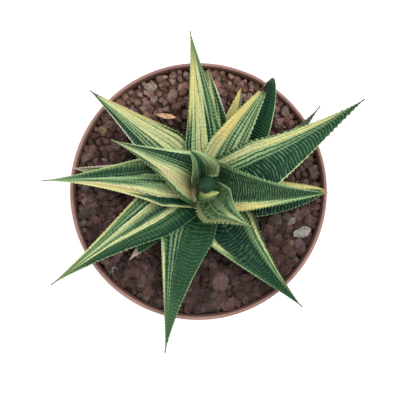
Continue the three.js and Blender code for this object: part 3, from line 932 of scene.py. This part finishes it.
def build_bud(number):
    """The closed heart: young leaves rolled over each other, with a seam where each one ends."""
    piece, row, angle = add_ball("heart_bud_rolled", BUD_SEGMENTS, BUD_ROWS)
    row = 1 - row
    height = BUD_FOOT + (BUD_TOP - BUD_FOOT) * row
    lower = BUD_FOOT_RADIUS + (BUD_RADIUS - BUD_FOOT_RADIUS) * smooth(height, BUD_FOOT, BUD_WIDEST)
    rise = np.clip((height - BUD_WIDEST) / (BUD_TOP - BUD_WIDEST), 0, 1)
    radius = np.where(height < BUD_WIDEST, lower, BUD_RADIUS * np.sqrt(np.clip(1 - rise**2, 0, 1)))
    radius = radius * np.clip(row / BUD_POINT, 0, 1) ** 0.5
    turn = (angle + BUD_TWIST * (height - BUD_FOOT)) / WHOLE_TURN * BUD_SEAMS
    seam = turn - np.floor(turn)
    step = BUD_SEAM_DEPTH * (1 - smooth(seam, 0.0, BUD_SEAM_WIDTH)) - 0.3 * BUD_SEAM_DEPTH * seam
    radius = np.maximum(radius - step, 0)
    x = PLANT_AXIS[0] + radius * np.cos(angle)
    y = PLANT_AXIS[1] + radius * np.sin(angle)
    set_places(piece, np.stack([x, y, height], axis=1))
    none = np.zeros_like(row)
    mark(piece, "place", np.stack([seam * 2 - 1, row, none], axis=1))
    mark(piece, "ridge", np.stack([none + BUD_RIDGES, none, seam * BUD_SEAM_REACH], axis=1))
    finish_piece(piece, leaf_material(BUD_LOOK, number), "heart_bud")


# Lava grit

GRIT_SEED = 11
GRIT_RADIUS = 43.3
GRIT_PITCHES = (2.6, 3.15)  # of the upper and the lower layer
GRIT_LEVEL = 67.2
GRIT_WALL_LEVEL = 72.4
GRIT_SLOPE_FROM = 14.0
GRIT_LAYER_STEP = 1.9
GRIT_LAYER_INSET = 1.4
GRIT_BED_FOOT = 61.3
GRIT_BED_INSET = 1.2
BED_SIDES = 96
RING_STEP = 0.86  # from ring to ring, as a share of the pitch
STONE_KINDS = 10
STONE_RADIUS = 2.15
STONE_STRETCH = ((0.95, 1.3), (0.85, 1.0), (0.75, 0.95))
STONE_CUTS = 11
CUT_DEPTHS = (0.52, 0.86)
SHORT_EDGE = 0.2
STONE_SIZES = (0.55, 0.7, 0.8, 0.9, 1.0, 1.1, 1.3)
FIRST_RING = 0.5  # from the wall, as a share of a stone's radius
NEAREST_WALL = 0.8
PLACE_STRAY = 0.25
RING_STRAY = 0.7
HEIGHT_STRAY = (-0.6, 0.7)
LARGEST_SPIN = 6.28
LARGEST_TIP = 0.7
COARSENESS = 0.92  # in the middle, less towards the back and more towards the front
COARSER = 0.3
COMMON_TINTS = 0.93  # the tints above this are for the single stones

# Single pieces that stand out: x, y, height over the others, half sizes, turn, and their tint,
# lightness and warmth. The last is a dry husk that lies on the stones.
SINGLE_STONES = (
    (36.3, -14.4, 1.0, (3.4, 2.5, 2.2), 20, (1.0, 0.72, 0.0)),
    (32.6, -10.6, 0.8, (1.9, 1.5, 1.6), 40, (0.985, 0.6, 0.4)),
    (7.4, -31.8, 1.0, (3.2, 4.3, 2.8), 10, (0.7, 1.0, 0.3)),
    (-17.1, 36.8, 0.6, (2.4, 2.0, 1.8), 0, (0.972, 0.0, 0.0)),
    (-29.8, -28.0, 0.8, (1.6, 1.9, 1.5), 30, (0.99, 0.4, 0.0)),
    (-11.8, 26.6, 2.2, (3.6, 1.1, 0.9), -8, (0.955, 1.0, 1.0)),
)
BED_LOOK = (0.05, 0.5, 0.5)

STONE_TONES = (
    (0.0, lit(72, 46, 40)),
    (0.2, lit(92, 64, 56)),
    (0.4, lit(106, 80, 70)),
    (0.55, lit(98, 76, 78)),
    (0.7, lit(114, 90, 86)),
    (0.84, lit(100, 88, 80)),
    (0.92, lit(124, 106, 90)),
    (0.955, lit(206, 178, 136)),
    (0.97, lit(140, 126, 112)),
    (1.0, lit(190, 184, 176)),
)
# A pale tan that the stones blend into, in speckles, towards the back.
STONE_BACK_TAN = lit(164, 138, 108)
REDDER = (1.12, 0.92, 0.9, 1.0)
STONE_ROUGHNESS = 0.9
STONE_CLOUD = 420.0
STONE_PITS = 1500.0
STONE_GRAIN = 2400.0
STONE_RELIEF = (0.9, 0.0006)
# Where painted shade and light change on the grit, in metres: painted shade by the plant, fading away from
# it; painted shade in front, fading towards the middle; and painted light with a pale tan towards the back.
SHADE_NEAR_PLANT = (0.018, 0.036)
SHADE_TO_FRONT = (-0.030, 0.014)
LIGHT_AND_TAN_TO_BACK = (0.014, 0.044)


def cut_stone(index, rng):
    """One stone: a rough ball, squashed, with flat sides broken off it."""
    let_go()
    bpy.ops.mesh.primitive_ico_sphere_add(subdivisions=1, radius=1.1)
    stone = just_made(f"stone_{index}")
    edit(stone)
    stretch = [rng.uniform(*each) for each in STONE_STRETCH]
    bpy.ops.transform.resize(value=stretch)
    for _ in range(STONE_CUTS):
        aim = Vector((rng.gauss(0, 1), rng.gauss(0, 1), rng.gauss(0, 1))).normalized()
        away = rng.uniform(*CUT_DEPTHS)
        spot = Vector([a * b for a, b in zip(aim, stretch)]) * away
        bpy.ops.mesh.select_all(action="SELECT")
        bpy.ops.mesh.bisect(plane_co=spot, plane_no=aim, use_fill=True, clear_outer=True)
    bpy.ops.mesh.select_all(action="SELECT")
    bpy.ops.mesh.remove_doubles(threshold=SHORT_EDGE)
    bpy.ops.mesh.quads_convert_to_tris()
    bpy.ops.mesh.normals_make_consistent(inside=False)
    let_go()
    return stone


def lay_stone(kind, centre, size, turn, look):
    """A copy of a stone with its own mesh, sized, turned and set down at a place in millimetres."""
    stone = kind.copy()
    stone.data = kind.data.copy()
    bpy.context.collection.objects.link(stone)
    scale = Matrix.Diagonal((*[each * MM for each in size], 1))
    stone.data.transform(Matrix.Translation(Vector(centre) * MM) @ turn @ scale)
    mark(stone, "stone", look * len(stone.data.vertices))
    return stone


def grit_level(radius):
    """The height of the stones' middles: level around the plant, rising towards the wall."""
    rise = max(radius - GRIT_SLOPE_FROM, 0) / (GRIT_RADIUS - GRIT_SLOPE_FROM)
    return GRIT_LEVEL + (GRIT_WALL_LEVEL - GRIT_LEVEL) * rise


def scatter_stone(kinds, ring, turn, layer, rng):
    """A stone near its place on a ring, of a random kind, size and turn."""
    coarse = COARSENESS - COARSER * math.sin(turn) * ring / GRIT_RADIUS
    radius = STONE_RADIUS * coarse * rng.choice(STONE_SIZES)
    away = min(ring + rng.uniform(-RING_STRAY, RING_STRAY), GRIT_RADIUS - radius * NEAREST_WALL)
    z = grit_level(away) - layer * GRIT_LAYER_STEP + rng.uniform(*HEIGHT_STRAY)
    spot = (away * math.cos(turn), away * math.sin(turn), z)
    spin = Matrix.Rotation(rng.uniform(0, LARGEST_SPIN), 4, "Z")
    tip = Matrix.Rotation(rng.uniform(-LARGEST_TIP, LARGEST_TIP), 4, "X")
    look = (rng.random() * COMMON_TINTS, rng.random(), rng.random())
    return lay_stone(rng.choice(kinds), spot, (radius, radius, radius), spin @ tip, look)


def lay_stones(kinds, rng):
    """Two layers of stones in uneven rings, and the single stones on them."""
    laid = []
    for layer, pitch in enumerate(GRIT_PITCHES):
        ring = GRIT_RADIUS - STONE_RADIUS * FIRST_RING - layer * GRIT_LAYER_INSET
        while ring > 0:
            places = max(1, round(WHOLE_TURN * ring / pitch))
            start = rng.uniform(0, WHOLE_TURN)
            for place in range(places):
                stray = rng.uniform(-PLACE_STRAY, PLACE_STRAY)
                turn = start + WHOLE_TURN * (place + stray) / places
                laid.append(scatter_stone(kinds, ring, turn, layer, rng))
            ring -= pitch * RING_STEP
    for x, y, above, size, spin, look in SINGLE_STONES:
        z = grit_level(math.hypot(x, y)) + above
        turn = Matrix.Rotation(math.radians(spin), 4, "Z")
        laid.append(lay_stone(kinds[0], (x, y, z), size, turn, look))
    return laid


def raise_top(height, share):
    """Extrudes the selected face upwards by millimetres, and resizes it by a share."""
    bpy.ops.mesh.extrude_region_move(TRANSFORM_OT_translate={"value": (0, 0, height * MM)})
    bpy.ops.transform.resize(value=(share, share, 1), center_override=(0, 0, 0))


def build_bed():
    """The closed bed under the stones, dished like them."""
    let_go()
    foot = (0, 0, GRIT_BED_FOOT * MM)
    radius = GRIT_RADIUS - GRIT_BED_INSET
    bpy.ops.mesh.primitive_circle_add(
        vertices=BED_SIDES, radius=radius * MM, fill_type="NGON", location=foot
    )
    bed = just_made("lava_grit_bed")
    bpy.ops.object.transform_apply(location=True)
    edit(bed)
    raise_top(GRIT_WALL_LEVEL - GRIT_LAYER_STEP - GRIT_BED_FOOT, 1)
    raise_top(GRIT_LEVEL - GRIT_WALL_LEVEL, GRIT_SLOPE_FROM / radius)
    let_go()
    mark(bed, "stone", BED_LOOK * len(bed.data.vertices))
    return bed


def build_grit():
    rng = random.Random(GRIT_SEED)
    kinds = [cut_stone(index, rng) for index in range(STONE_KINDS)]
    laid = lay_stones(kinds, rng)
    take(build_bed())
    for stone in laid:
        stone.select_set(True)
    bpy.ops.object.join()
    grit = just_made("lava_grit_stones")
    for kind in kinds:
        bpy.data.objects.remove(kind)
    finish_piece(grit, grit_material(), "lava_grit", smooth_angle=26)


def grit_material():
    material, tree, skin = new_material("lava_grit_stone")
    tint, lightness, warmth = parts_of(attribute(tree, "stone"))
    coords = object_place(tree)
    cloud = noise(coords, STONE_CLOUD, 3.0, 0.6)
    pits = put(tree, "ShaderNodeTexVoronoi", "Distance", {"Vector": coords, "Scale": STONE_PITS})
    grain = noise(coords, STONE_GRAIN, 3.0, 0.7)
    shade = remap(cloud, 0.3, 0.7, 0.5, 1.4, "LINEAR")
    shade *= remap(pits, 0.05, 0.5, 0.45, 1.15)
    shade *= remap(lightness, 0.0, 1.0, 0.55, 1.15, "LINEAR")
    # Painted shade: the stones are darker by the plant and in front. Painted light: they are lighter
    # towards the back, where they also blend into a pale tan in speckles.
    x, y, _ = parts_of(coords)
    behind = remap(y, *LIGHT_AND_TAN_TO_BACK)
    shade *= remap(maths("SQRT", x * x + y * y), *SHADE_NEAR_PLANT, 0.62, 1.0)
    shade *= remap(y, *SHADE_TO_FRONT, 0.64, 1.0)
    shade *= behind * 1.3 + 1.0
    toned = shaded(colour_ramp(tint, STONE_TONES), shade)
    mixed = blend(warmth, toned, blend(1.0, toned, REDDER, "MULTIPLY"))
    # Towards the back the stones blend into a pale tan, in speckles.
    dust = behind * remap(grain, 0.4, 0.65, 0.0, 0.45)
    height = cloud * 0.8 + (pits * 0.6 + grain * 0.6)
    finish_skin(skin, blend(dust, mixed, STONE_BACK_TAN), STONE_ROUGHNESS, height, STONE_RELIEF)
    return material


# Pot

POT_HEIGHT = 76.0
COLLAR_HEIGHT = 13.0
NECK_HEIGHT = POT_HEIGHT - COLLAR_HEIGHT
BASE_RADIUS = 32.0
NECK_RADIUS = 43.3
COLLAR_FOOT_RADIUS = 44.3
RIM_RADIUS = 45.0
RIM_LIP = 1.2
LIP_STEPS = 6
WALL = 1.2
WALL_LEAN = 1.4  # how much narrower the inside is at the neck than at the rim
FLOOR_TOP = 3.6
FOOT_RING_WIDTH = 4.0
CENTRE_PAD_RADIUS = 11.0
CHANNEL_DEPTH = 2.0
FOOT_BEVEL = 0.3
BASE_BEVEL = 0.5
COLLAR_BEVEL = 0.3
DRAIN_HOLES = 8
DRAIN_RADIUS = 2.6
DRAIN_CIRCLE = 19.5
NOTCHES = 4
NOTCH_WIDTH = 5.0
POT_SIDES = 160
DRAIN_SIDES = 40
INNER_SLOPE = 0.1
INNER_MARGIN = 0.15

TERRACOTTA_DARK = lit(148, 108, 98)
TERRACOTTA_LIGHT = lit(162, 124, 114)
TERRACOTTA_DUST = lit(196, 160, 146)
TERRACOTTA_SPECK = lit(110, 70, 60)
# The inner wall's darkening: a stain from the grit, with painted shade in front and painted light behind.
STAIN_AND_SHADE_IN_FRONT = lit(70, 38, 34)
STAIN_AND_LIGHT_BEHIND = lit(150, 98, 80)
STAIN_AND_SHADE_FOOT = (0.0600, 0.0620)
STAIN_AND_SHADE_TOP = (0.0742, 0.0762)
SHADE_FRONT_TO_BACK = (-0.03, 0.03)
POT_ROUGHNESS = 0.62
POT_CLOUD = 60.0
POT_SPECKS = 1800.0
POT_GRAIN = 3000.0
POT_RELIEF = (0.35, 0.00012)


def pot_profile():
    """The pot's section from the middle of its underside, out, up, over the lip and back down."""
    channel = BASE_RADIUS - FOOT_RING_WIDTH
    lip = RIM_LIP / 2
    profile = [
        (CENTRE_PAD_RADIUS - FOOT_BEVEL, 0.0),
        (CENTRE_PAD_RADIUS, FOOT_BEVEL),
        (CENTRE_PAD_RADIUS, CHANNEL_DEPTH),
        (channel, CHANNEL_DEPTH),
        (channel, FOOT_BEVEL),
        (channel + FOOT_BEVEL, 0.0),
        (BASE_RADIUS - BASE_BEVEL, 0.0),
        (BASE_RADIUS, BASE_BEVEL),
        (NECK_RADIUS - 0.05, NECK_HEIGHT - 0.4),
        (NECK_RADIUS + 0.1, NECK_HEIGHT - 0.1),
        (COLLAR_FOOT_RADIUS - COLLAR_BEVEL, NECK_HEIGHT),
        (COLLAR_FOOT_RADIUS, NECK_HEIGHT + COLLAR_BEVEL),
    ]
    for step in range(LIP_STEPS + 1):
        angle = math.pi * step / LIP_STEPS
        radius = RIM_RADIUS - lip + lip * math.cos(angle)
        profile.append((radius, POT_HEIGHT - lip + lip * math.sin(angle)))
    profile += [
        (RIM_RADIUS - RIM_LIP - WALL_LEAN, NECK_HEIGHT),
        (BASE_RADIUS - WALL + 0.3, FLOOR_TOP + 0.8),
        (BASE_RADIUS - WALL - 0.6, FLOOR_TOP),
    ]
    return profile


def turn_profile(name, profile):
    """A closed turned shape, made by extruding a ring of edges from point to point."""
    let_go()
    radius, level = profile[0]
    bpy.ops.mesh.primitive_circle_add(vertices=POT_SIDES, radius=radius * MM, fill_type="NGON")
    piece = just_made(name)
    edit(piece)
    bpy.ops.mesh.select_mode(type="EDGE")
    bpy.ops.mesh.select_all(action="SELECT")
    for next_radius, next_level in profile[1:]:
        rise = (0, 0, (next_level - level) * MM)
        bpy.ops.mesh.extrude_edges_move(TRANSFORM_OT_translate={"value": rise})
        share = next_radius / radius
        bpy.ops.transform.resize(value=(share, share, 1), center_override=(0, 0, 0))
        radius, level = next_radius, next_level
    bpy.ops.mesh.edge_face_add()
    bpy.ops.mesh.select_all(action="SELECT")
    bpy.ops.mesh.remove_doubles(threshold=0.00001)
    bpy.ops.mesh.normals_make_consistent(inside=False)
    let_go()
    return piece


def drain_cutter(turn):
    x = DRAIN_CIRCLE * math.cos(turn)
    y = DRAIN_CIRCLE * math.sin(turn)
    size = dict(radius=DRAIN_RADIUS * MM, depth=2 * FLOOR_TOP * MM)
    let_go()
    spot = (x * MM, y * MM, FLOOR_TOP * MM)
    bpy.ops.mesh.primitive_cylinder_add(vertices=DRAIN_SIDES, location=spot, **size)
    return just_made("drain_cutter")


def notch_cutter(turn):
    middle = (BASE_RADIUS - FOOT_RING_WIDTH / 2) * MM
    spot = (middle * math.cos(turn), middle * math.sin(turn), 0)
    let_go()
    bpy.ops.mesh.primitive_cube_add(size=1, location=spot, rotation=(0, 0, turn))
    notch = just_made("notch_cutter")
    notch.scale = (3 * FOOT_RING_WIDTH * MM, NOTCH_WIDTH * MM, 2 * CHANNEL_DEPTH * MM)
    return notch


def cut_out(piece, cutter):
    take(piece)
    cut = piece.modifiers.new("cut", "BOOLEAN")
    cut.operation = "DIFFERENCE"
    cut.solver = "EXACT"
    cut.object = cutter
    bpy.ops.object.modifier_apply(modifier=cut.name)
    bpy.data.objects.remove(cutter)


def build_pot():
    """The turned pot, with its drain holes and the notches of its foot ring cut out."""
    pot = turn_profile("pot_turned", pot_profile())
    for index in range(DRAIN_HOLES):
        cut_out(pot, drain_cutter(WHOLE_TURN * index / DRAIN_HOLES))
    for index in range(NOTCHES):
        cut_out(pot, notch_cutter(WHOLE_TURN * (index + 0.5) / NOTCHES))
    finish_piece(pot, pot_material(), "pot", smooth_angle=35)


def pot_material():
    material, tree, skin = new_material("pot_terracotta")
    coords = object_place(tree)
    x, y, z = parts_of(coords)
    cloud = noise(coords, POT_CLOUD, 4.0, 0.6)
    body = blend(remap(cloud, 0.35, 0.65), TERRACOTTA_DARK, TERRACOTTA_LIGHT)
    streaks = noise(point(x * 900.0, y * 900.0, z * 60.0), 1.0, 3.0)
    dusty = blend(remap(streaks, 0.5, 0.8, 0.0, 0.35), body, TERRACOTTA_DUST)
    speck = noise(coords, POT_SPECKS, 2.0, 0.7)
    spotted = blend(remap(speck, 0.62, 0.75, 0.0, 0.5), dusty, TERRACOTTA_SPECK)
    # The inner wall is darkened below the lip, partly by a stain from the grit and partly by painted shade.
    # The band is darkest and reaches highest in front, which is painted shade, and is lighter and lower at
    # the back, which is painted light.
    foot = RIM_RADIUS - RIM_LIP - INNER_SLOPE * POT_HEIGHT + INNER_MARGIN
    wall = z * INNER_SLOPE + foot * MM
    inside = remap(wall - maths("SQRT", x * x + y * y), 0.0, 0.0002)
    level = z + remap(y, *SHADE_FRONT_TO_BACK, -0.0007, 0.0003)
    low = remap(cloud * 0.0012 + level, *STAIN_AND_SHADE_TOP, 1.0, 0.0)
    stained_and_shaded = inside * low * (remap(z, *STAIN_AND_SHADE_FOOT) * 0.85)
    stain_and_shade = blend(remap(y, *SHADE_FRONT_TO_BACK), STAIN_AND_SHADE_IN_FRONT, STAIN_AND_LIGHT_BEHIND)
    grain = noise(coords, POT_GRAIN, 3.0, 0.6)
    finish_skin(skin, blend(stained_and_shaded, spotted, stain_and_shade), POT_ROUGHNESS, grain, POT_RELIEF)
    return material


# Kept solids

EARTH_ROUGHNESS = 0.95
EARTH_RELIEF = (0.9, 0.0008)


def finish_kept_solid(name, finish, dark, light, scale):
    """Gives a solid of the model an earthy or barky material."""
    material, tree, skin = new_material(f"{name}_{finish}")
    lumps = noise(object_place(tree), scale, 5.0, 0.65)
    colour = blend(remap(lumps, 0.35, 0.65), dark, light)
    finish_skin(skin, colour, EARTH_ROUGHNESS, lumps, EARTH_RELIEF)
    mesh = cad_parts[name].data
    mesh.materials.clear()
    mesh.materials.append(material)


# Studio

FLOOR_SIZE = 6.0
FLOOR_GLOW = 0.3
AIR_LIGHT = 0.72
WHITE = (1.0, 1.0, 1.0, 1.0)
PAPER_DARK = (0.93, 0.93, 0.93, 1.0)
PAPER_LIGHT = (0.96, 0.96, 0.955, 1.0)
PAPER_ROUGHNESS = 0.9
KEY_LIGHT = dict(place=(0.3, 0.24, 1.05), size=0.7, power=8.2)
FILL_LIGHT = dict(place=(-0.6, 0.5, 1.0), size=0.8, power=3.0)
LIT_SPOT = Vector((0, 0, 0.08))


def set_studio():
    let_go()
    bpy.ops.mesh.primitive_plane_add(size=FLOOR_SIZE, location=(0, 0, 0))
    floor = just_made("studio_floor")
    material, tree, skin = new_material("studio_floor_paper")
    fibre = noise(object_place(tree), 300.0, 2.0)
    feed(skin.inputs["Base Color"], blend(fibre, PAPER_DARK, PAPER_LIGHT))
    feed(skin.inputs["Roughness"], PAPER_ROUGHNESS)
    feed(skin.inputs["Emission Color"], WHITE)
    feed(skin.inputs["Emission Strength"], FLOOR_GLOW)
    floor.data.materials.append(material)
    world = bpy.data.worlds.new("studio_air")
    bpy.context.scene.world = world
    world.use_nodes = True
    air = world.node_tree.nodes["Background"]
    feed(air.inputs["Color"], WHITE)
    feed(air.inputs["Strength"], AIR_LIGHT)
    soft_light("key_light", **KEY_LIGHT)
    soft_light("fill_light", **FILL_LIGHT)
    bpy.context.scene.view_settings.view_transform = "Standard"
    bpy.context.scene.view_settings.look = "None"


def soft_light(name, place, size, power):
    let_go()
    bpy.ops.object.light_add(type="AREA", location=place)
    light = bpy.context.object
    light.name = name
    light.data.shape = "DISK"
    light.data.size = size
    light.data.energy = power
    aim = LIT_SPOT - Vector(place)
    light.rotation_euler = aim.to_track_quat("-Z", "Y").to_euler()


set_camera()
set_studio()
for number, each in enumerate(LEAVES):
    build_leaf(each, number)
build_bud(len(LEAVES))
build_grit()
build_pot()
finish_kept_solid("potting_mix", "peat", lit(40, 28, 22), lit(84, 62, 48), 700.0)
finish_kept_solid("rootstock", "bark", lit(96, 76, 54), lit(142, 120, 88), 500.0)
let_go()
